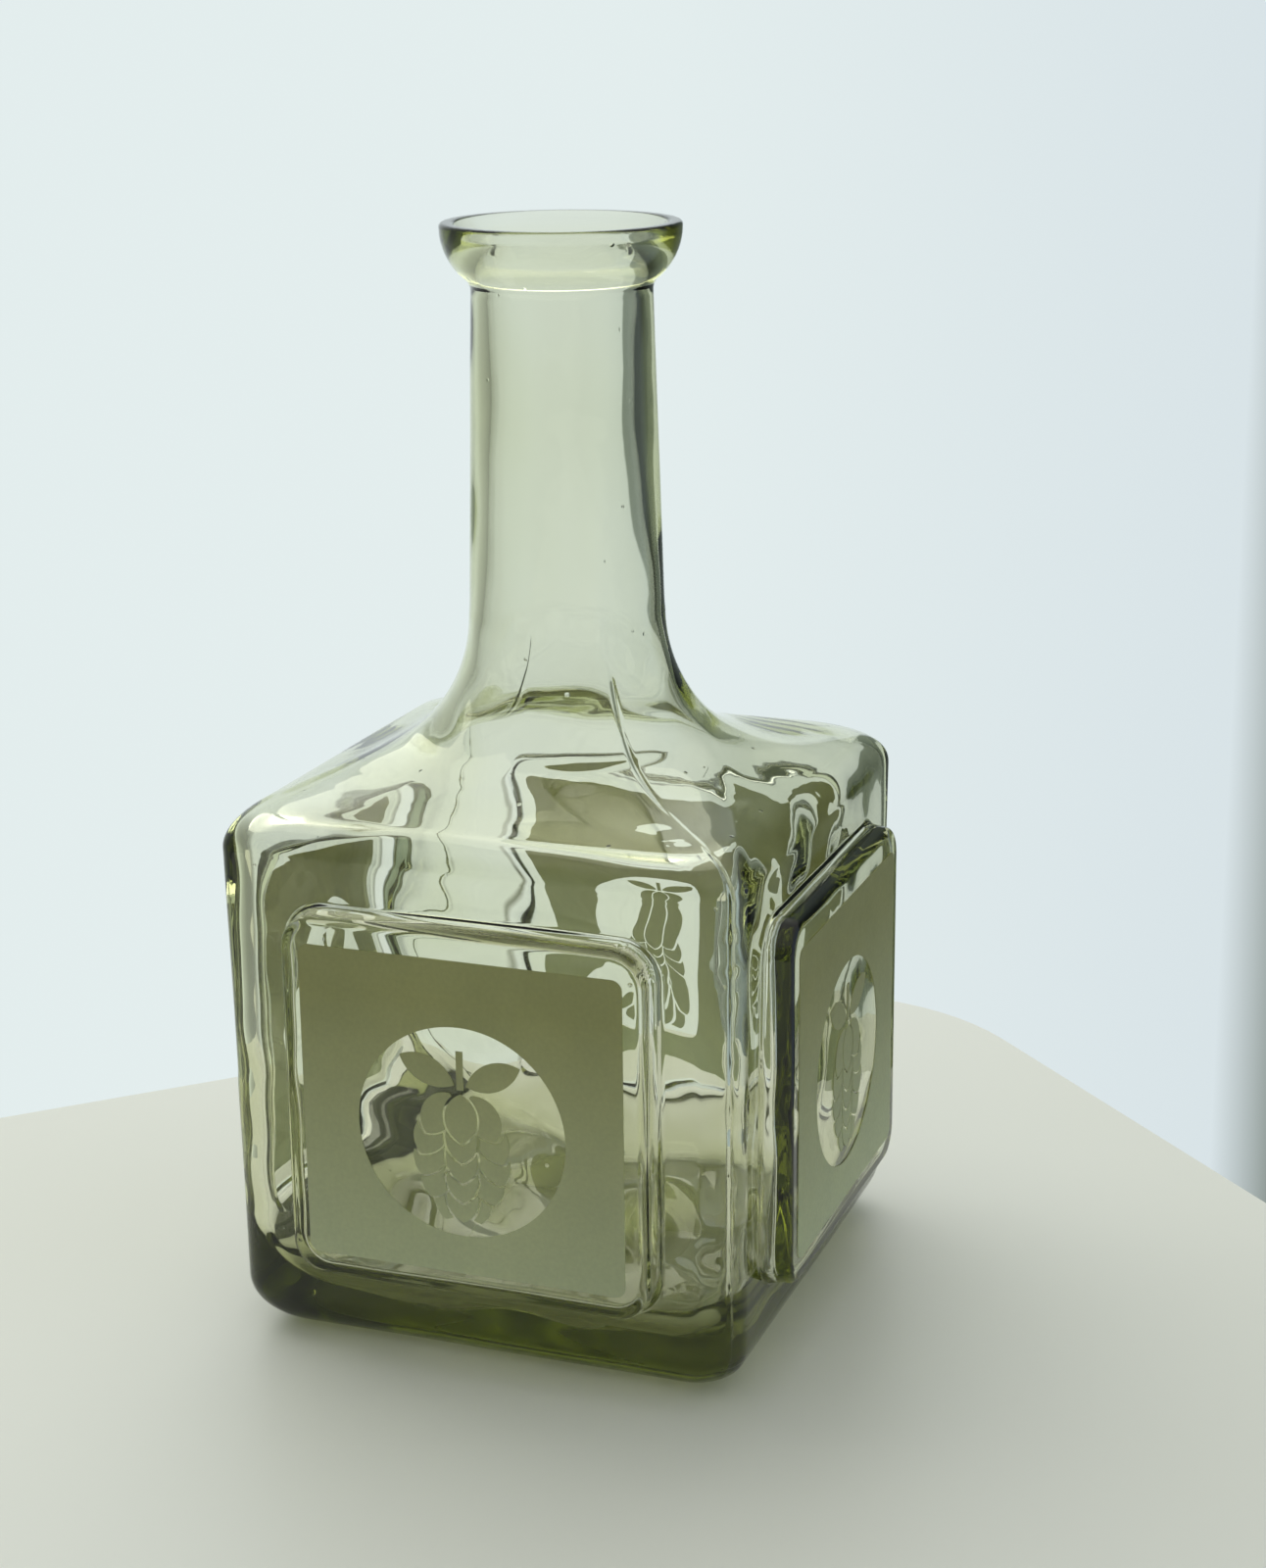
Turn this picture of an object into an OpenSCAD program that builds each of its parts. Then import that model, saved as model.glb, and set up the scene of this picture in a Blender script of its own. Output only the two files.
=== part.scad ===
// Square mould-blown glass growler with a tall open neck and satin side panels.
// Millimetres, +Z up, origin at the middle of the base on the resting plane.
// The side that faces -Y is the front.

/* [Overall] */
// Height from the table to the rim
bottle_h = 250; // [240:1:270]
// Thickness of the glass in the body wall
wall = 3.4; // [3:0.1:4]
// Thickness of the glass under the cavity
base_t = 9; // [7:0.5:12]

/* [Body] */
// Width of the square body between its flat faces
body_w = 123; // [118:1:130]
// Height at which the flat faces and the shoulder would meet
eave_z = 123.4; // [121:0.2:126]
// Slope of the shoulder above the horizontal, in degrees
shoulder_slope = 16; // [13:1:18]
// Radius of the vertical edges
edge_r = 8; // [6:0.5:10]
// Radius of the edge around the base
foot_r = 13; // [9:0.5:15]
// Radius of the edge between the faces and the shoulder
eave_r = 9; // [7:0.5:10]
// How much each face leans in from the shoulder to the foot
foot_taper = 0.8; // [0:0.1:1.2]
// Depth of the hollow in the underside
kick_depth = 2.2; // [1:0.1:4]
// Radius of the hollow in the underside
kick_r = 40; // [30:1:44]

/* [Neck and lip] */
// Outer radius of the neck at the shoulder
neck_low_r = 22.4; // [21:0.1:24]
// Outer radius of the neck under the lip
neck_top_r = 20.2; // [19:0.1:20.8]
// Radius of the sweep from the shoulder into the neck
flare_r = 37; // [33:0.5:38]
// Radius of the cylindrical land that takes a stopper
land_r = 16.8; // [15.5:0.1:17.2]
// Height of the bottom of that land
land_z = 205; // [190:1:215]
// Outer radius of the cup-shaped lip
lip_r = 27; // [26:0.1:28]
// Radius of the bowl of the lip, seen in section
bowl_r = 14.7; // [14:0.1:15.5]
// Thickness of the glass in the lip
lip_t = 3.4; // [2.8:0.1:4]

/* [Raised panels] */
// Side of a panel's outline where it leaves the face
panel_w = 86.4; // [84:0.2:90]
// Height of a panel's middle above the table
panel_z = 63.4; // [62:0.2:66]
// Height of a panel above the face
panel_h = 6; // [4:0.5:6.5]
// Corner radius of a panel's outline
panel_r = 8.5; // [6:0.5:12]
// Radius of a panel's outer edge
panel_edge_r = 2.6; // [1.5:0.1:3]

/* [Satin decoration] */
// Width of a satin field
field_w = 75.6; // [70:0.2:77]
// Height of a satin field
field_h = 73.2; // [70:0.2:76]
// Thickness of the satin layer
satin_t = 0.2; // [0.15:0.05:0.3]
// Radius of the clear window in a field
window_r = 24.5; // [22:0.5:27]
// Height of the window's middle below the field's middle
window_drop = 3; // [0:0.5:5]

/* [Hidden] */

$fn = 96;

// Number of steps in a quarter turn of a faceted corner
corner_steps = 7;
// Number of steps along each arc of the body's profile
arc_steps = 7;
// How far solids that are joined or cut reach into each other
overlap = 2;

body_half = body_w / 2;
// Middle of the sweep between shoulder and neck: the neck starts at its height
flare_end_half = neck_low_r + flare_r * (1 - sin(shoulder_slope));
flare_z = eave_z + (body_half - flare_end_half) * tan(shoulder_slope)
    + flare_r * cos(shoulder_slope);
// Middle of the rounding between a face and the shoulder
eave_half = body_half - eave_r;
eave_mid_z = eave_z + eave_r * tan(shoulder_slope) - eave_r / cos(shoulder_slope);
// Radius inside the bottom of the cavity
cavity_foot_r = 16;
// Share of the way from the faces to the neck at which the shoulder has become round
round_share = 0.75;
// Corner radius of the level sections just above the eave
eave_corner_r = 15;
// Corner radius as a share of the half width where the shoulder meets the neck
neck_roundness = 0.98;
// The neck stands this much proud of the sweep, so that the two cross cleanly
neck_proud = 0.1;

lip_mid_r = lip_r - bowl_r;
rim_edge_r = 0.9;
lip_mid_z = bottle_h - rim_edge_r;
// Height at which the bowl's outside leaves the neck
lip_foot_z = lip_mid_z - sqrt(pow(bowl_r, 2) - pow(neck_top_r - lip_mid_r, 2));
// Height at which the bowl's inside meets the land
land_top_z = lip_mid_z - sqrt(pow(bowl_r - lip_t, 2) - pow(land_r - lip_mid_r, 2));

// Depth to which the cavity follows a panel, and the outline of that recess
recess_h = 4;
recess_w = panel_w - 9;
recess_r = 11;
face_y = body_half + panel_h;

// Points of an arc about [x, y] from angle a0 to a1
function arc(x, y, r, a0, a1, steps) =
    [for (i = [0 : steps]) let (a = a0 + (a1 - a0) * i / steps) [x + r * cos(a), y + r * sin(a)]];

// Profile of the body as [half width, height], set inwards by "inset" of glass
function body_profile(inset, floor_z, floor_r) = concat(
    arc(body_half - foot_taper - inset - floor_r, floor_z + floor_r, floor_r, -90, 0, arc_steps),
    arc(eave_half, eave_mid_z, eave_r - inset, 0, 90 - shoulder_slope, arc_steps),
    arc(neck_low_r + flare_r, flare_z, flare_r + inset, 270 - shoulder_slope, 180, 2 * arc_steps)
);

// Share of the half width that is rounded: a soft square at the eave, round at the neck
function roundness(half) =
    let (t = min(1, (body_half - half) / (body_half - neck_low_r) / round_share))
    edge_r / body_half + (neck_roundness - edge_r / body_half) * t * t * (3 - 2 * t);

// Corner radius of a level section
function corner_r(half, z) =
    z < panel_z ? edge_r
    : max(half * roundness(half), min(eave_corner_r, edge_r + 1.2 * (body_half - half)));

// Outline of a rounded square as a ring of points at one height
function ring(half_x, half_y, r, z) =
    [for (q = [0 : 3]) for (i = [0 : corner_steps])
        let (a = 90 * (q + i / corner_steps), sx = q == 0 || q == 3 ? 1 : -1, sy = q < 2 ? 1 : -1)
        [sx * (half_x - r) + r * cos(a), sy * (half_y - r) + r * sin(a), z]];

// Closed solid through a stack of rings with the same number of points
module loft(rings) {
    n = len(rings[0]);
    m = len(rings);
    polyhedron(
        points = [for (level = rings) for (p = level) p],
        faces = concat(
            [[for (i = [0 : n - 1]) i]],
            [[for (i = [n - 1 : -1 : 0]) (m - 1) * n + i]],
            [for (k = [0 : m - 2]) for (i = [0 : n - 1]) each [
                [k * n + i, (k + 1) * n + (i + 1) % n, k * n + (i + 1) % n],
                [k * n + i, (k + 1) * n + i, (k + 1) * n + (i + 1) % n]
            ]]
        )
    );
}

module body_form(inset, floor_z, floor_r) {
    loft([for (p = body_profile(inset, floor_z, floor_r))
        ring(p[0], p[0], min(corner_r(p[0] + inset, p[1]) - 0.4 * inset, p[0] - 0.3), p[1])]);
}

// Raised square with a rounded outer edge, standing on the -Y face
module panel_form(width, height, r, top_r, draft) {
    half = width / 2;
    translate([0, -body_half, panel_z])
        rotate([90, 0, 0])
            loft(concat(
                [ring(half, half, r, -overlap)],
                [for (p = arc(half - draft - top_r, height - top_r, top_r, 0, 90, 5))
                    ring(p[0], p[0], r - (half - p[0]) / 2, p[1])]
            ));
}

// Runs its children once on each of the four sides
module on_each_side() {
    for (turn = [0 : 3])
        rotate([0, 0, 90 * turn])
            children();
}

// Solid neck with its cup-shaped lip
module neck_form() {
    rotate_extrude()
        polygon(concat(
            [[0, flare_z - 5], [neck_low_r + neck_proud, flare_z - 5],
                [neck_low_r + neck_proud, flare_z], [neck_top_r, lip_foot_z - 1]],
            arc(lip_mid_r, lip_mid_z, bowl_r, -acos((neck_top_r - lip_mid_r) / bowl_r) + 4, 0, 10),
            arc(lip_r - rim_edge_r, lip_mid_z, rim_edge_r, 30, 90, 2),
            [[0, bottle_h]]
        ));
}

// Space inside the neck and lip: a stopper land with a cone below it and a bowl above
module neck_space() {
    inner_low_r = neck_low_r - wall + neck_proud;
    bowl_in_r = bowl_r - lip_t;
    rotate_extrude()
        polygon(concat(
            [[0, flare_z - 5], [inner_low_r, flare_z - 5], [inner_low_r, flare_z],
                [land_r, land_z], [land_r, land_top_z]],
            arc(lip_mid_r, lip_mid_z, bowl_in_r, -acos((land_r - lip_mid_r) / bowl_in_r) + 5, 0, 8),
            arc(lip_r - lip_t + rim_edge_r, lip_mid_z, rim_edge_r, 150, 90, 2),
            [[lip_r - lip_t + rim_edge_r, bottle_h + overlap], [0, bottle_h + overlap]]
        ));
}

// Shallow spherical hollow under the base
module kick_space() {
    sphere_r = (pow(kick_r, 2) + pow(kick_depth, 2)) / (2 * kick_depth);
    translate([0, 0, kick_depth - sphere_r])
        sphere(r = sphere_r, $fn = 128);
}

module glass_vessel() {
    color([0.62, 0.68, 0.54, 0.45])
        difference() {
            union() {
                body_form(0, 0, foot_r);
                on_each_side()
                    panel_form(panel_w, panel_h, panel_r, panel_edge_r, 1.2);
                neck_form();
            }
            body_form(wall, base_t, cavity_foot_r);
            on_each_side()
                translate([0, wall, 0])
                    panel_form(recess_w, recess_h, recess_r, 3, 2);
            neck_space();
            kick_space();
        }
}

// Places a flat outline, drawn as seen from outside, on one panel
module on_panel(turn) {
    rotate([0, 0, 90 * turn])
        translate([0, -face_y, panel_z])
            rotate([90, 0, 0])
                linear_extrude(height = satin_t)
                    children();
}

module rounded_field() {
    r = 2.5;
    square([field_w - 2 * r, field_h], center = true);
    square([field_w, field_h - 2 * r], center = true);
    for (sx = [-1, 1])
        for (sy = [-1, 1])
            translate([sx * (field_w / 2 - r), sy * (field_h / 2 - r)])
                circle(r = r, $fn = 32);
}

module satin_field(turn) {
    color([0.50, 0.51, 0.45])
        on_panel(turn)
            difference() {
                rounded_field();
                translate([0, -window_drop])
                    circle(r = window_r);
            }
}

// Pointed leaf of the given length and breadth with its foot at the origin
module leaf(length, breadth) {
    r = (pow(length, 2) + pow(breadth, 2)) / (4 * breadth);
    intersection_for (side = [-1, 1])
        translate([side * (r - breadth / 2), length / 2])
            circle(r = r, $fn = 64);
}

// One scale of the hop cone, grown by a margin: step is -1, 0 or 1 from left to right
module hop_scale(row, step, margin) {
    spread = 5.4 * sin(28 + 34 * row);
    translate([step * spread, 9 + margin - 4.7 * row])
        rotate(180 + step * (30 - 4 * row))
            leaf(11.5 + 2 * margin, 7.6 + 2 * margin);
}

// Row of three scales, the middle one in front of its neighbours
module hop_row(row, gap) {
    hop_scale(row, 0, 0);
    difference() {
        for (step = [-1, 1])
            hop_scale(row, step, 0);
        hop_scale(row, 0, gap);
    }
}

// Hop cone: rows of scales with a clear line around each, a stalk and two leaves
module hop_outline() {
    rows = 5;
    gap = 0.6;
    hop_row(0, gap);
    for (row = [1 : rows - 1])
        difference() {
            hop_row(row, gap);
            for (step = [-1 : 1])
                hop_scale(row - 1, step, gap);
        }
    translate([-0.8, 10])
        square([1.6, 9]);
    for (side = [-1, 1])
        translate([side * 1.4, 11])
            rotate(side * -66)
                leaf(14, 6.4);
}

module satin_motif(turn) {
    color([0.50, 0.51, 0.45])
        on_panel(turn)
            translate([0, -window_drop])
                hop_outline();
}

module front_field() { satin_field(0); }
module right_field() { satin_field(1); }
module back_field() { satin_field(2); }
module left_field() { satin_field(3); }
module front_motif() { satin_motif(0); }
module right_motif() { satin_motif(1); }
module back_motif() { satin_motif(2); }
module left_motif() { satin_motif(3); }

glass_vessel();
front_field();
right_field();
back_field();
left_field();
front_motif();
right_motif();
back_motif();
left_motif();
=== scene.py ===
"""Square glass growler: fine mould-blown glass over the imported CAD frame, with satin panels.

Lengths in the shape code are millimetres and turn into metres when a mesh is made.
"""

import math

import bpy
import numpy as np
from mathutils import Matrix, Vector

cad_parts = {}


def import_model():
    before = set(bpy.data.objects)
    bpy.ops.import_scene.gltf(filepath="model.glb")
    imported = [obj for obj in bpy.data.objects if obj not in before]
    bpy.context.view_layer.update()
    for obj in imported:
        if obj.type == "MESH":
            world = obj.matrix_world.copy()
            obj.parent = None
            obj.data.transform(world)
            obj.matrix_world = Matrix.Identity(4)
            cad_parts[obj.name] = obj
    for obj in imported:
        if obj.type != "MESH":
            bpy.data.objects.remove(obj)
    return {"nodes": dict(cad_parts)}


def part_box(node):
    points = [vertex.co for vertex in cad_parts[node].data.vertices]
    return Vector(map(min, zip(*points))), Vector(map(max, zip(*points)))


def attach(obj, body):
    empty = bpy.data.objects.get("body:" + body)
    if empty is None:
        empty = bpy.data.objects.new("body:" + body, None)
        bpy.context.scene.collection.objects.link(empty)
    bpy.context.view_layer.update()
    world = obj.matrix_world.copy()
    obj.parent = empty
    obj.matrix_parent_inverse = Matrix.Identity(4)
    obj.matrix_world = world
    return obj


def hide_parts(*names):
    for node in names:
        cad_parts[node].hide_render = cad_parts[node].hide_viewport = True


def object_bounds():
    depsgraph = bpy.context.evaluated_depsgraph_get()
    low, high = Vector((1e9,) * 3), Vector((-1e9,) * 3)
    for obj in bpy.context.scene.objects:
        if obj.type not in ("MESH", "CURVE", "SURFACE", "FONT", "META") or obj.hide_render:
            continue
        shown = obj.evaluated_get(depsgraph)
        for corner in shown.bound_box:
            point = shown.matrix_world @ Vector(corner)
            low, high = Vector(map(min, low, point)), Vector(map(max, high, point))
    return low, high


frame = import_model()
CAD_LOW, CAD_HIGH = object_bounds()

MM = 0.001
SEED = 11

# ---------------------------------------------------------------- dimensions (mm)
BOTTLE_H = CAD_HIGH.z / MM
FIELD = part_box("front_field")
SATIN_T = 0.2
FACE_Y = CAD_HIGH.y / MM - SATIN_T
PANEL_Z = (FIELD[0].z + FIELD[1].z) / 2 / MM

PANEL_H = 6.0
BODY_HALF = FACE_Y - PANEL_H
PANEL_HALF = 43.2
PANEL_R = 8.5
PANEL_DRAFT = 0.45
PANEL_EDGE_R = 2.0
# Air between the glass and the satin layer: each ray then meets their surfaces in order
SATIN_GAP = 0.05

WALL = 3.4
FLOOR_Z = 9.0
EAVE_Z = 123.4
SLOPE = math.radians(16)
EDGE_R = 8.0
FOOT_R = 13.0
EAVE_R = 9.0
EAVE_CORNER_R = 15.0
FOOT_TAPER = 0.8
CAVITY_FOOT_R = 19.0
KICK_R = 40.0
KICK_DEPTH = 2.2
# Hollow behind each panel. It reaches past the panel's outline, and leaves as little as 0.5 mm of
# glass in the panel's upright walls
RECESS_H = 5.0
RECESS_HALF = 43.5
RECESS_R = 9.5
RECESS_W = 3.0

NECK_LOW_R = 22.4
NECK_TOP_R = 20.2
FLARE_R = 37.0
LAND_R = 16.8
LAND_Z = 205.0
LIP_R = 27.0
BOWL_R = 14.7
LIP_T = 3.4
RIM_EDGE_R = 0.9
LIP_FILLET = 2.0
# The inside of the cup bends round this point [radius, height] on its way down to the land
CUP_BEND = (19.2, 241.5)
CUP_FOOT_Z = 236.0
LIP_MID_R = LIP_R - BOWL_R
LIP_MID_Z = BOTTLE_H - RIM_EDGE_R

FLARE_END = NECK_LOW_R + FLARE_R * (1 - math.sin(SLOPE))
FLARE_Z = EAVE_Z + (BODY_HALF - FLARE_END) * math.tan(SLOPE) + FLARE_R * math.cos(SLOPE)
EAVE_HALF = BODY_HALF - EAVE_R
EAVE_MID_Z = EAVE_Z + EAVE_R * math.tan(SLOPE) - EAVE_R / math.cos(SLOPE)


# ---------------------------------------------------------------- helpers
def smooth(x):
    x = np.clip(x, 0.0, 1.0)
    return x * x * (3 - 2 * x)


def spaced(*segments):
    """Values from the start of the first segment to the end of the last, each (start, end, step)."""
    out = []
    for start, end, step in segments:
        n = max(1, int(round(abs(end - start) / step)))
        out += list(np.linspace(start, end, n + 1)[:-1])
    return out + [segments[-1][1]]


def arc(cx, cz, r, a0, a1, n):
    """Points [half width, height] of an arc, angles in degrees."""
    a = np.radians(np.linspace(a0, a1, n + 1))
    return [(cx + r * math.cos(t), cz + r * math.sin(t)) for t in a]


def eased(a, corner, b, n):
    """Points strictly between a and b that round off the corner between them."""
    a, corner, b = np.array(a), np.array(corner), np.array(b)
    shares = [i / n for i in range(1, n)]
    return [tuple((1 - t) ** 2 * a + 2 * t * (1 - t) * corner + t * t * b) for t in shares]


class Ripple:
    """Smooth noise in space: a seeded sum of waves of about one length."""

    def __init__(self, seed, length, waves=9, squash_z=1.0):
        rng = np.random.default_rng(seed)
        d = rng.normal(size=(waves, 3))
        d /= np.linalg.norm(d, axis=1)[:, None]
        self.k = d * (2 * np.pi / (length * rng.uniform(0.75, 1.35, waves)))[:, None]
        self.k[:, 2] *= squash_z
        self.phase = rng.uniform(0, 2 * np.pi, waves)
        self.gain = 1 / math.sqrt(waves / 2)

    def __call__(self, p):
        return np.sin(p @ self.k.T + self.phase).sum(-1) * self.gain


# ---------------------------------------------------------------- glass: rows of the profile
# Share of the way in at which the shoulder is round, and its corner radius there as a share
ROUND_SHARE = 0.75
NECK_ROUNDNESS = 0.98


def roundness(half):
    t = smooth((BODY_HALF - half) / (BODY_HALF - NECK_LOW_R) / ROUND_SHARE)
    return EDGE_R / BODY_HALF + (NECK_ROUNDNESS - EDGE_R / BODY_HALF) * t


def corner_r(half, z):
    if z < PANEL_Z:
        return EDGE_R
    return max(half * roundness(half), min(EAVE_CORNER_R, EDGE_R + 1.2 * (BODY_HALF - half)))


def face_rows(z0, z1, edge_half):
    """Heights up a flat face, close together where a panel's edge crosses."""
    lo, hi = PANEL_Z - edge_half, PANEL_Z + edge_half
    heights = spaced(
        (min(z0, lo - 3.2), lo - 1.6, 1.6), (lo - 1.6, lo + 4.4, 0.3), (lo + 4.4, lo + 10, 0.8),
        (lo + 10, hi - 10, 2.6), (hi - 10, hi - 4.4, 0.8), (hi - 4.4, hi + 1.6, 0.3), (hi + 1.6, z1, 1.2),
    )
    return [z0] + [z for z in heights if z > z0 + 0.1]


def body_rows(inset, floor_z, floor_r, edge_half):
    """(half, z, corner radius, blend to even spacing) from the foot up to the neck."""
    foot_half = BODY_HALF - FOOT_TAPER - inset
    rows = arc(foot_half - floor_r, floor_z + floor_r, floor_r, -90, 0, round(floor_r * 2.4))[:-1]
    z0, z1 = floor_z + floor_r, EAVE_MID_Z
    for z in face_rows(z0, z1, edge_half):
        rows.append((foot_half + FOOT_TAPER * (z - z0) / (z1 - z0), z))
    rows += arc(EAVE_HALF, EAVE_MID_Z, EAVE_R - inset, 0, 90 - math.degrees(SLOPE), 14)[1:]
    end = rows[-1]
    sweep = arc(NECK_LOW_R + FLARE_R, FLARE_Z, FLARE_R + inset, 270 - math.degrees(SLOPE), 180, 40)
    rows += [tuple(np.array(end) + (np.array(sweep[0]) - end) * t) for t in (0.25, 0.5, 0.75)]
    rows += sweep
    out = []
    for half, z in rows:
        r = min(corner_r(half + inset, z) - 0.4 * inset, half - 0.01)
        blend = smooth((BODY_HALF - inset - half) / (BODY_HALF - NECK_LOW_R)) if z > EAVE_MID_Z else 0.0
        out.append((half, z, r, float(blend)))
    return out


def round_rows(points):
    return [(r, z, r, 1.0) for r, z in points]


def bottom_rows(rim_half, rim_z, rim_corner, middle_z, kick_r):
    """Rows from just off the middle of a floor out to its rounded-square rim."""
    rows = [
        (r, middle_z + (rim_z - middle_z) * (r / kick_r) ** 2, r, 1.0)
        for r in np.linspace(kick_r / 9, kick_r, 9)
    ]
    for t in (0.2, 0.4, 0.6, 0.8):
        half = kick_r + (rim_half - kick_r) * t
        rows.append((half, rim_z, half + (rim_corner - half) * t, 1.0 - t))
    return rows


def outer_rows():
    foot = BODY_HALF - FOOT_TAPER - FOOT_R
    rows = bottom_rows(foot, 0.0, EDGE_R, KICK_DEPTH, KICK_R)
    rows += body_rows(0.0, 0.0, FOOT_R, PANEL_HALF)
    lip_angle = math.degrees(math.acos((NECK_TOP_R - LIP_MID_R) / BOWL_R))
    lip_foot_z = LIP_MID_Z - math.sqrt(BOWL_R**2 - (NECK_TOP_R - LIP_MID_R) ** 2)
    neck = [
        (NECK_LOW_R + (NECK_TOP_R - NECK_LOW_R) * (z - FLARE_Z) / (lip_foot_z - FLARE_Z), z)
        for z in spaced((FLARE_Z + 2, lip_foot_z - LIP_FILLET, 2.2))
    ]
    bowl = arc(LIP_MID_R, LIP_MID_Z, BOWL_R, -lip_angle + math.degrees(LIP_FILLET / BOWL_R), 0, 20)
    rows += round_rows(neck + eased(neck[-1], (NECK_TOP_R, lip_foot_z), bowl[0], 8) + bowl)
    rows += round_rows(arc(LIP_R - RIM_EDGE_R, LIP_MID_Z, RIM_EDGE_R, 15, 90, 5))
    return rows


def inner_rows():
    """From the rim down to the floor of the cavity."""
    rim_r = LIP_R - LIP_T + RIM_EDGE_R
    rows = round_rows([(LIP_R - RIM_EDGE_R - 0.8, BOTTLE_H)])
    rows += round_rows(arc(rim_r, LIP_MID_Z, RIM_EDGE_R, 90, 165, 5))
    low_r = NECK_LOW_R - WALL
    neck = [(LAND_R, z) for z in spaced((CUP_FOOT_Z, LAND_Z, 2.4))]
    rows += round_rows(eased((LIP_R - LIP_T, LIP_MID_Z - 1.0), CUP_BEND, neck[0], 22))
    neck += [(low_r + (LAND_R - low_r) * (z - FLARE_Z) / (LAND_Z - FLARE_Z), z)
             for z in spaced((LAND_Z - 2, FLARE_Z + 2, 2.2))]
    rows += round_rows(neck)
    rows += body_rows(WALL, FLOOR_Z, CAVITY_FOOT_R, RECESS_HALF)[::-1]
    foot = BODY_HALF - FOOT_TAPER - WALL - CAVITY_FOOT_R
    rows += bottom_rows(foot, FLOOR_Z, rows[-1][2], FLOOR_Z + 1.2, 0.6 * foot)[::-1]
    return rows


# ---------------------------------------------------------------- glass: columns and relief
def columns():
    """Places along one side, from one corner's middle to the next, as a share of the half side."""
    flat = BODY_HALF - EDGE_R
    turn = math.pi / 4 * EDGE_R
    half = spaced(
        (0, 33, 2.4), (33, 37.8, 0.8), (37.8, 45, 0.3), (45, 47, 0.7), (47, flat, 1.6),
        (flat, flat + turn - 1.6, 0.8), (flat + turn - 1.6, flat + turn, 0.2),
    )
    half = np.array(half) / (flat + turn)
    body = np.concatenate([-half[::-1], half[1:-1]])
    return body, np.linspace(-1, 1, len(body) + 1)[:-1]


PANEL_FILLET = 1.3
PANEL_FILLET_H = 0.7


def panel_rise(s, height, draft, edge_r):
    """Share of a panel's height at a depth s inside its outline, with a fillet at the foot."""
    wall_h = height - edge_r
    top = np.clip(s - draft, 0, edge_r)
    rise = np.where(
        s < draft,
        wall_h * np.clip(s / draft, 0, 1),
        wall_h + np.sqrt(np.maximum(edge_r**2 - (edge_r - top) ** 2, 0)),
    )
    foot = np.clip((s + PANEL_FILLET) / PANEL_FILLET, 0, 1)
    rise = np.maximum(rise, PANEL_FILLET_H * foot**3)
    return rise / height


def inside_square(x, z, half, r):
    """How deep a point lies inside a rounded square round the panel's middle."""
    qx, qz = np.abs(x) - (half - r), np.abs(z - PANEL_Z) - (half - r)
    outside = np.hypot(np.maximum(qx, 0), np.maximum(qz, 0))
    return r - (outside + np.minimum(np.maximum(qx, qz), 0))


SEAM_H = 0.42
SEAM_W = 0.5
# The seam fades in above the foot and out on the shoulder: each (height, span)
SEAM_IN = (4.0, 10.0)
SEAM_OUT = (150.0, 22.0)
VENT_H = 0.6
VENT_R = 1.1

# Unevenness of the glass, as the height of each ripple
OUTER_WAVE = 0.05
INNER_WAVE = 0.12
INNER_FINE = 0.05
BODY_WAVE = 0.3
BODY_CURL = 0.16
NECK_STREAK = 0.05
FLOOR_WAVE = 0.8
FLOOR_FINE = 0.25
FLOOR_SQUEEZE = (1.4, 1.4, 1.0)
# Where the body's ripples give way to the neck's, and where all of them die out: (height, span)
BODY_OUT = (135.0, 40.0)
RIM_OUT = (225.0, 15.0)


def rises(z, start, span):
    """0 below a height, 1 above it by the span."""
    return float(smooth((z - start) / span))


def vent_heights():
    """Uneven places up the corner where air left the mould."""
    even = np.arange(20, 112, 9.0)
    return even + np.random.default_rng(SEED).uniform(-2.8, 2.8, len(even))


def seam_relief(d_from_seam, z):
    """Fine ridge that the joint of the mould leaves, with vent marks along it."""
    fade = rises(z, *SEAM_IN) * (1 - rises(z, *SEAM_OUT))
    ridge = SEAM_H * np.exp(-((d_from_seam / SEAM_W) ** 2)) * fade
    for vent_z in vent_heights():
        ridge = ridge + VENT_H * np.exp(-((d_from_seam / VENT_R) ** 2 + ((z - vent_z) / VENT_R) ** 2))
    return ridge


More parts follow.
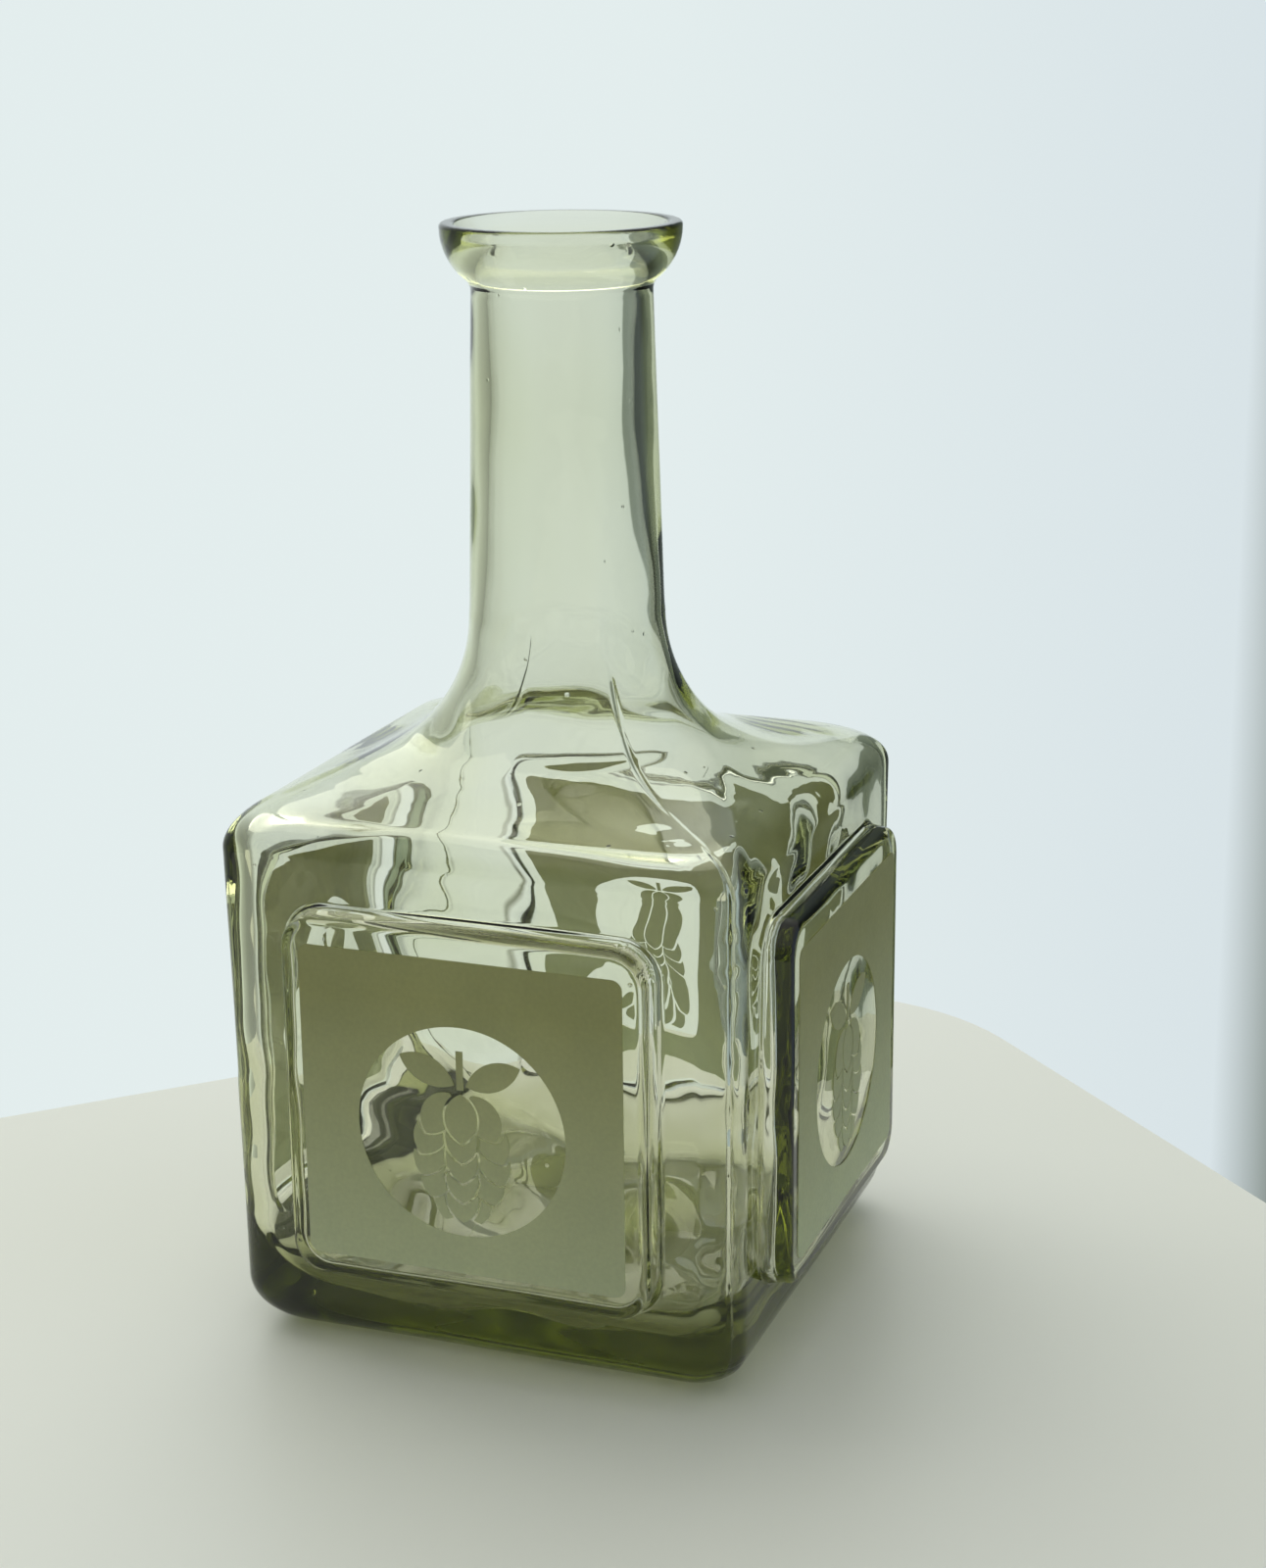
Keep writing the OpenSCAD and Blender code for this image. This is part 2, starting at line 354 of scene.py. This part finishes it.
def glass_mesh():
    body_t, even_t = columns()
    n = 4 * len(body_t)
    rows = [(r, 1) for r in outer_rows()] + [(r, -1) for r in inner_rows()]
    slow = Ripple(SEED, 46)
    brisk = Ripple(SEED + 1, 17)
    curl = Ripple(SEED + 2, 30, squash_z=2.2)
    streak = Ripple(SEED + 3, 9, squash_z=0.12)
    grid = np.zeros((len(rows), n, 3))
    for k, ((half, z, r, blend), skin) in enumerate(rows):
        t = (1 - blend) * body_t + blend * even_t
        flat, turn = half - r, math.pi / 4 * r
        d = t * (flat + turn)
        over = np.maximum(np.abs(d) - flat, 0) / max(r, 1e-6)
        x = np.sign(d) * np.where(over > 0, flat + r * np.sin(over), np.abs(d))
        out = np.where(over > 0, flat + r * np.cos(over), half)
        on_face = (over <= 0) & (PANEL_Z - 60 < z < PANEL_Z + 50)
        if skin > 0:
            s = inside_square(x, z, PANEL_HALF, PANEL_R)
            rise = panel_rise(s, PANEL_H, PANEL_DRAFT, PANEL_EDGE_R)
            top = FACE_Y - SATIN_GAP
        else:
            rise = smooth(inside_square(x, z, RECESS_HALF, RECESS_R) / RECESS_W)
            top = BODY_HALF + RECESS_H - WALL
        rise = np.where(on_face, rise, 0)
        out = out + rise * (top - out)
        for side in range(4):
            a = math.pi / 2 * side
            px, py = x * math.cos(a) + out * math.sin(a), x * math.sin(a) - out * math.cos(a)
            p = np.stack([px, py, np.full_like(px, z)], 1)
            radial = p * [1, 1, 0]
            radial /= np.maximum(np.linalg.norm(radial, axis=1), 1e-6)[:, None]
            if skin > 0:
                push = OUTER_WAVE * slow(p) * (1 - rise)
                if half > 24 and z > 2:
                    seam = (flat + turn) - d if side in (0, 2) else d + (flat + turn)
                    push = push + seam_relief(seam, z)
            else:
                in_body = 1 - rises(z, *BODY_OUT)
                push = -(INNER_WAVE + BODY_WAVE * in_body) * slow(p) - BODY_CURL * in_body * curl(p)
                push = push - INNER_FINE * brisk(p) - NECK_STREAK * (1 - in_body) * streak(p)
                push = push * (1 - rises(z, *RIM_OUT))
            p = p + radial * push[:, None]
            if skin < 0 and z < FLOOR_Z + 3:
                p[:, 2] += FLOOR_WAVE * slow(p * FLOOR_SQUEEZE) + FLOOR_FINE * brisk(p)
            i0 = side * len(body_t)
            grid[k, i0:i0 + len(body_t)] = p
    points = grid.reshape(-1, 3)
    m = len(rows)
    k, i = np.meshgrid(np.arange(m - 1), np.arange(n), indexing="ij")
    j = (i + 1) % n
    quads = np.stack([k * n + i, k * n + j, (k + 1) * n + j, (k + 1) * n + i], -1).reshape(-1, 4)
    low, high = len(points), len(points) + 1
    points = np.vstack([points, [0, 0, KICK_DEPTH], [0, 0, grid[-1, :, 2].mean()]])
    i = np.arange(n)
    j = (i + 1) % n
    fan = np.vstack([np.stack([j, i, np.full(n, low)], 1),
                     np.stack([(m - 1) * n + i, (m - 1) * n + j, np.full(n, high)], 1)])
    return points, quads, fan


def make_mesh(name, points, quads, tris):
    me = bpy.data.meshes.new(name)
    loops = np.concatenate([quads.ravel(), tris.ravel()]).astype(np.int32)
    sizes = np.concatenate([np.full(len(quads), 4), np.full(len(tris), 3)])
    me.vertices.add(len(points))
    me.vertices.foreach_set("co", (points * MM).astype(np.float32).ravel())
    me.loops.add(len(loops))
    me.loops.foreach_set("vertex_index", loops)
    me.polygons.add(len(sizes))
    me.polygons.foreach_set("loop_start", np.concatenate([[0], np.cumsum(sizes)[:-1]]).astype(np.int32))
    me.update(calc_edges=True)
    me.validate()
    me.shade_smooth()
    obj = bpy.data.objects.new(name, me)
    bpy.context.scene.collection.objects.link(obj)
    return obj


# ---------------------------------------------------------------- materials
# Places of a Mix node's two colour inputs and its colour output
MIX_A, MIX_B, MIX_OUT = 6, 7, 2


def material(name):
    mat = bpy.data.materials.new(name)
    mat.use_nodes = True
    tree = mat.node_tree
    return mat, tree, tree.nodes["Principled BSDF"]


def noise(tree, scale, detail=3.0, roughness=0.55):
    coord = tree.nodes.new("ShaderNodeTexCoord")
    tex = tree.nodes.new("ShaderNodeTexNoise")
    tex.inputs["Scale"].default_value = scale
    tex.inputs["Detail"].default_value = detail
    tex.inputs["Roughness"].default_value = roughness
    tree.links.new(coord.outputs["Object"], tex.inputs["Vector"])
    return tex.outputs["Fac"]


def ramp(tree, fac, stops):
    node = tree.nodes.new("ShaderNodeValToRGB")
    while len(node.color_ramp.elements) < len(stops):
        node.color_ramp.elements.new(0.5)
    for element, (pos, color) in zip(node.color_ramp.elements, stops):
        element.position = pos
        element.color = (*color, 1) if len(color) == 3 else color
    tree.links.new(fac, node.inputs["Fac"])
    return node.outputs["Color"]


def scaled(tree, value, gain, offset):
    node = tree.nodes.new("ShaderNodeMath")
    node.operation = "MULTIPLY_ADD"
    node.inputs[1].default_value = gain
    node.inputs[2].default_value = offset
    tree.links.new(value, node.inputs[0])
    return node.outputs[0]


def height_on_object(tree):
    coord = tree.nodes.new("ShaderNodeTexCoord")
    split = tree.nodes.new("ShaderNodeSeparateXYZ")
    tree.links.new(coord.outputs["Object"], split.inputs["Vector"])
    return split.outputs["Z"]


def bump(tree, height, strength, distance, under=None):
    node = tree.nodes.new("ShaderNodeBump")
    if under is not None:
        tree.links.new(under, node.inputs["Normal"])
    node.inputs["Strength"].default_value = strength
    node.inputs["Distance"].default_value = distance
    tree.links.new(height, node.inputs["Height"])
    return node.outputs["Normal"]


TINT = (0.62, 0.65, 0.20)
TINT_DENSITY = 66.0
# Roughness at the very bottom, and the height in metres at which the glass is polished again
FOOT_WEAR = 0.42
FOOT_WEAR_H = 0.0036
# Bubbles that show as dimples: cells per metre with one in each, and its radius as a share of a cell
BUBBLE_CELLS = 85.0
BUBBLE_SIZE = 0.045


def glass_material():
    mat, tree, bsdf = material("sage_glass")
    bsdf.inputs["Base Color"].default_value = (1, 1, 1, 1)
    # Scuffed where it stands, polished from just above
    from_foot = scaled(tree, height_on_object(tree), 1 / FOOT_WEAR_H, 0.0)
    wear = ramp(tree, from_foot, [(0.0, (FOOT_WEAR,) * 3), (1.0, (0.0,) * 3)])
    tree.links.new(wear, bsdf.inputs["Roughness"])
    bsdf.inputs["IOR"].default_value = 1.5
    bsdf.inputs["Transmission Weight"].default_value = 1.0
    waviness = bump(tree, noise(tree, 60, 2.0), 0.12, 0.0006)
    coord = tree.nodes.new("ShaderNodeTexCoord")
    cells = tree.nodes.new("ShaderNodeTexVoronoi")
    cells.inputs["Scale"].default_value = BUBBLE_CELLS
    tree.links.new(coord.outputs["Object"], cells.inputs["Vector"])
    bubbles = ramp(tree, cells.outputs["Distance"], [(0.0, (1,) * 3), (BUBBLE_SIZE, (0,) * 3)])
    tree.links.new(bump(tree, bubbles, 0.7, 0.0003, waviness), bsdf.inputs["Normal"])
    volume = tree.nodes.new("ShaderNodeVolumeAbsorption")
    volume.inputs["Color"].default_value = (*TINT, 1)
    volume.inputs["Density"].default_value = TINT_DENSITY
    tree.links.new(volume.outputs["Volume"], tree.nodes["Material Output"].inputs["Volume"])
    return mat


# Colour of the satin at the foot and at the top of a panel, fitted to the photographed tones. The step from
# the darker top to the lighter foot is painted light: bounce light from the table painted into the
# frosting's colour
SATIN_FOOT_PAINTED_BOUNCE = (0.88, 0.93, 0.68)
SATIN_TOP_PAINTED_SHADE = (0.56, 0.56, 0.27)


def multiplied(tree, a, b):
    node = tree.nodes.new("ShaderNodeMix")
    node.data_type = "RGBA"
    node.blend_type = "MULTIPLY"
    node.inputs["Factor"].default_value = 1.0
    tree.links.new(a, node.inputs[MIX_A])
    tree.links.new(b, node.inputs[MIX_B])
    return node.outputs[MIX_OUT]


def satin_material():
    mat, tree, bsdf = material("satin_frost")
    grain = ramp(tree, noise(tree, 900, 4.0), [(0.3, (0.90,) * 3), (0.7, (1.0,) * 3)])
    clouds = ramp(tree, noise(tree, 45, 3.0), [(0.35, (0.93, 0.94, 0.95)), (0.65, (1.0,) * 3)])
    # Painted light: the satin's colour gets lighter towards the foot of each panel, standing in for light
    # bouncing up from the table
    painted_bounce_tone = ramp(tree, scaled(tree, height_on_object(tree), 10.0, 0.0), [(0.2, SATIN_FOOT_PAINTED_BOUNCE), (0.9, SATIN_TOP_PAINTED_SHADE)])
    tree.links.new(multiplied(tree, multiplied(tree, grain, clouds), painted_bounce_tone), bsdf.inputs["Base Color"])
    rough = ramp(tree, noise(tree, 300, 3.0), [(0.3, (0.66,) * 3), (0.7, (0.80,) * 3)])
    tree.links.new(rough, bsdf.inputs["Roughness"])
    bsdf.inputs["Transmission Weight"].default_value = 0.6
    bsdf.inputs["IOR"].default_value = 1.45
    tree.links.new(bump(tree, noise(tree, 2600, 2.0), 0.25, 0.0001), bsdf.inputs["Normal"])
    return mat


def plain(name, color, roughness):
    mat, tree, bsdf = material(name)
    bsdf.inputs["Base Color"].default_value = (*color, 1)
    bsdf.inputs["Roughness"].default_value = roughness
    return mat


# ---------------------------------------------------------------- the object
points, quads, fan = glass_mesh()
glass = make_mesh("growler_glass", points, quads, fan)
glass.data.materials.append(glass_material())
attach(glass, "root")
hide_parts("glass_vessel")

satin = satin_material()
for name, node in frame["nodes"].items():
    if name != "glass_vessel":
        node.data.materials.clear()
        node.data.materials.append(satin)

# ---------------------------------------------------------------- stage
TABLE_HALF = 0.45
TABLE_CORNER_R = 0.07
TABLE_T = 0.025
TABLE_CORNER = Vector((0.014, 0.197, -0.0002))
TABLE_COLOR = (0.74, 0.76, 0.70)
TABLE_ROUGHNESS = 0.45
CORNER_STEPS = 16


def table_top():
    """Thin square slab with rounded corners, one of them at the back."""
    c = TABLE_HALF - TABLE_CORNER_R
    ring = []
    for quarter, (sx, sy) in enumerate([(1, 1), (-1, 1), (-1, -1), (1, -1)]):
        for step in range(CORNER_STEPS + 1):
            a = math.radians(90 * (quarter + step / CORNER_STEPS))
            ring.append((sx * c + TABLE_CORNER_R * math.cos(a), sy * c + TABLE_CORNER_R * math.sin(a)))
    n = len(ring)
    verts = [(x, y, 0) for x, y in ring] + [(x, y, -TABLE_T) for x, y in ring]
    faces = [list(range(n)), list(range(2 * n - 1, n - 1, -1))]
    faces += [[i, i + n, (i + 1) % n + n, (i + 1) % n] for i in range(n)]
    me = bpy.data.meshes.new("table_top")
    me.from_pydata(verts, [], faces)
    obj = bpy.data.objects.new("table_top", me)
    bpy.context.scene.collection.objects.link(obj)
    reach = (TABLE_HALF - TABLE_CORNER_R * (1 - math.sqrt(0.5))) * math.sqrt(2)
    obj.rotation_euler = (0, 0, math.radians(45))
    obj.location = TABLE_CORNER - Vector((0, reach, 0))
    return obj


table = table_top()
table.data.materials.append(plain("table_white", TABLE_COLOR, TABLE_ROUGHNESS))


# Radiance of the surroundings by azimuth in degrees: 0 is behind the bottle, 90 to its right
SURROUNDINGS = [
    (-180, (0.26, 0.27, 0.27)),
    (-115, (0.26, 0.28, 0.27)),
    (-78, (0.30, 0.33, 0.31)),
    (-56, (0.52, 0.57, 0.55)),
    (-42, (0.77, 0.85, 0.85)),
    (-20, (0.77, 0.85, 0.85)),
    (-8, (0.69, 0.77, 0.80)),
    (-7, (0.20, 0.24, 0.21)),
    (12, (0.13, 0.16, 0.14)),
    (24, (0.05, 0.06, 0.05)),
    (38, (0.05, 0.06, 0.05)),
    (50, (0.40, 0.49, 0.60)),
    (95, (0.56, 0.64, 0.74)),
    (135, (0.26, 0.27, 0.27)),
    (180, (0.26, 0.27, 0.27)),
]
CEILING = (0.60, 0.61, 0.58)
# Where the ceiling takes over, as (1 + sine of the elevation) / 2
CEILING_FROM = 0.72
CEILING_FULL = 0.86


def world():
    """Pale surroundings that change with azimuth, under a pale ceiling."""
    w = bpy.data.worlds.new("studio")
    bpy.context.scene.world = w
    w.use_nodes = True
    tree = w.node_tree
    coord = tree.nodes.new("ShaderNodeTexCoord")
    split = tree.nodes.new("ShaderNodeSeparateXYZ")
    tree.links.new(coord.outputs["Generated"], split.inputs["Vector"])
    azimuth = tree.nodes.new("ShaderNodeMath")
    azimuth.operation = "ARCTAN2"
    tree.links.new(split.outputs["X"], azimuth.inputs[0])
    tree.links.new(split.outputs["Y"], azimuth.inputs[1])
    around = ramp(tree, scaled(tree, azimuth.outputs[0], 0.5 / math.pi, 0.5),
                  [((a + 180) / 360, c) for a, c in SURROUNDINGS])
    overhead = ramp(tree, scaled(tree, split.outputs["Z"], 0.5, 0.5),
                    [(CEILING_FROM, (0,) * 3), (CEILING_FULL, (1,) * 3)])
    mix = tree.nodes.new("ShaderNodeMix")
    mix.data_type = "RGBA"
    tree.links.new(overhead, mix.inputs[0])
    tree.links.new(around, mix.inputs[MIX_A])
    mix.inputs[MIX_B].default_value = (*CEILING, 1)
    tree.links.new(mix.outputs[MIX_OUT], tree.nodes["Background"].inputs["Color"])


world()


def area_light(name, place, target, size, power, color):
    data = bpy.data.lights.new(name, "AREA")
    data.shape = "RECTANGLE"
    data.size, data.size_y = size
    data.energy = power
    data.color = color
    obj = bpy.data.objects.new(name, data)
    bpy.context.scene.collection.objects.link(obj)
    obj.location = place
    obj.rotation_mode = "QUATERNION"
    obj.rotation_quaternion = (Vector(target) - Vector(place)).to_track_quat("-Z", "Y")
    # Not seen in reflections. It was hidden to darken the left shoulder, and is still seen through glass
    obj.visible_glossy = False


SOFTBOX_PLACE = (-0.75, 0.7, 1.3)
SOFTBOX_TARGET = (-0.05, 0, 0.05)
SOFTBOX_SIZE = (2.2, 1.8)
SOFTBOX_WATTS = 20.5
SOFTBOX_COLOR = (1.0, 0.99, 0.95)
area_light("top_softbox", SOFTBOX_PLACE, SOFTBOX_TARGET, SOFTBOX_SIZE, SOFTBOX_WATTS, SOFTBOX_COLOR)

# ---------------------------------------------------------------- camera
CAMERA_PLACE = Vector((0.240888, -0.603178, 0.312))
CAMERA_RIGHT = Vector((0.93776162, 0.34712848, -0.01024506))
CAMERA_UP = Vector((-0.08897786, 0.26867912, 0.95911129))
LENS = 66.80

cam_data = bpy.data.cameras.new("camera")
cam_data.lens = LENS
cam_data.sensor_width = 36.0
cam = bpy.data.objects.new("camera", cam_data)
bpy.context.scene.collection.objects.link(cam)
cam_back = CAMERA_RIGHT.cross(CAMERA_UP)
axes = Matrix((CAMERA_RIGHT, CAMERA_UP, cam_back)).transposed()
cam.matrix_world = Matrix.Translation(CAMERA_PLACE) @ axes.to_4x4()
bpy.context.scene.camera = cam

view = bpy.context.scene.view_settings
view.view_transform = "Standard"
# Enough bounces for a ray to cross every wall of the bottle
cycles = bpy.context.scene.cycles
cycles.max_bounces = 24
cycles.transmission_bounces = 24
cycles.glossy_bounces = 12
